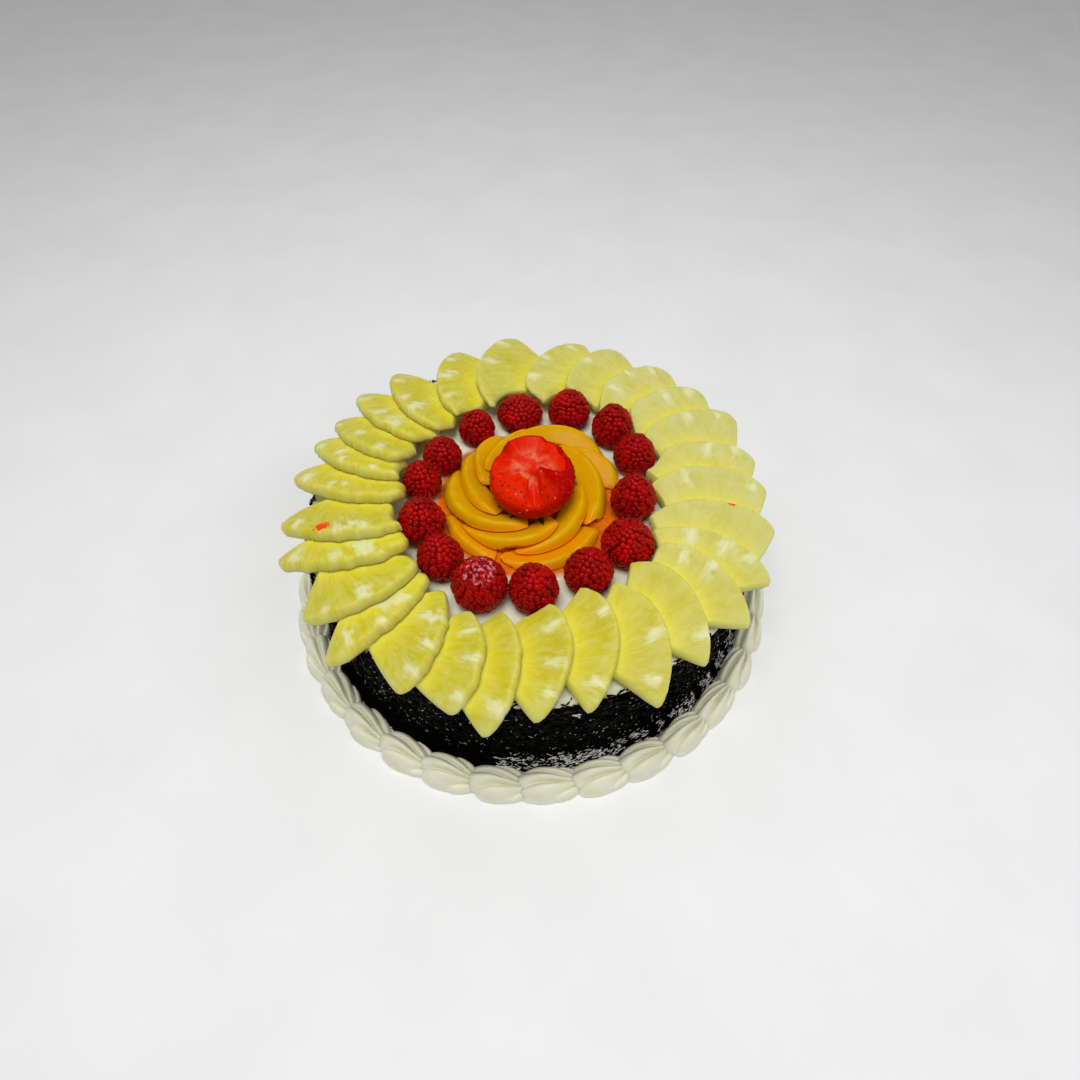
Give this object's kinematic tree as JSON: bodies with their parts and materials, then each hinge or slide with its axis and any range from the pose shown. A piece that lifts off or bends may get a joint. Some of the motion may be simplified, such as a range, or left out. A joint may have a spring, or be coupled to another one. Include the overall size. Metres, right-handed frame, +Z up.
{
  "type": "exotic fruit cake",
  "caption": "Whole round cream cake with a dark flaked side, a piped shell border and a topping of pineapple slices, raspberries, peach slices and a strawberry.",
  "frame": {"origin": "centre of the cake's flat underside", "axes": "+Z up, -Y toward the picture's camera, +X to the picture's right"},
  "size_m": [0.2448, 0.2457, 0.0856],
  "materials": {
    "flaked_coat": "dark rough flakes",
    "cream": "soft satin",
    "pineapple": "wet, fibrous",
    "raspberry": "bumpy, moist",
    "peach": "wet, smooth",
    "strawberry_flesh": "moist",
    "leaf": "matt"
  },
  "bodies": {
    "root": {"cake_body": "flaked_coat", "piped_border": "cream", "pineapple_slice_01": "pineapple", "pineapple_slice_02": "pineapple", "pineapple_slice_03": "pineapple", "pineapple_slice_04": "pineapple", "pineapple_slice_05": "pineapple", "pineapple_slice_06": "pineapple", "pineapple_slice_07": "pineapple", "pineapple_slice_08": "pineapple", "pineapple_slice_09": "pineapple", "pineapple_slice_10": "pineapple", "pineapple_slice_11": "pineapple", "pineapple_slice_12": "pineapple", "pineapple_slice_13": "pineapple", "pineapple_slice_14": "pineapple", "pineapple_slice_15": "pineapple", "pineapple_slice_16": "pineapple", "pineapple_slice_17": "pineapple", "pineapple_slice_18": "pineapple", "pineapple_slice_19": "pineapple", "pineapple_slice_20": "pineapple", "pineapple_slice_21": "pineapple", "pineapple_slice_22": "pineapple", "pineapple_slice_23": "pineapple", "pineapple_slice_24": "pineapple", "pineapple_slice_25": "pineapple", "pineapple_slice_26": "pineapple", "pineapple_slice_27": "pineapple", "pineapple_slice_28": "pineapple", "raspberry_01": "raspberry", "raspberry_02": "raspberry", "raspberry_03": "raspberry", "raspberry_04": "raspberry", "raspberry_05": "raspberry", "raspberry_06": "raspberry", "raspberry_07": "raspberry", "raspberry_08": "raspberry", "raspberry_09": "raspberry", "raspberry_10": "raspberry", "raspberry_11": "raspberry", "raspberry_12": "raspberry", "raspberry_13": "raspberry", "raspberry_14": "raspberry", "peach_slice_01": "peach", "peach_slice_02": "peach", "peach_slice_03": "peach", "peach_slice_04": "peach", "peach_slice_05": "peach", "peach_slice_06": "peach", "peach_slice_07": "peach", "peach_slice_08": "peach", "peach_slice_09": "peach", "peach_slice_10": "peach", "peach_slice_11": "peach", "strawberry": "strawberry_flesh", "strawberry_calyx": "leaf"}
  },
  "joints": []
}
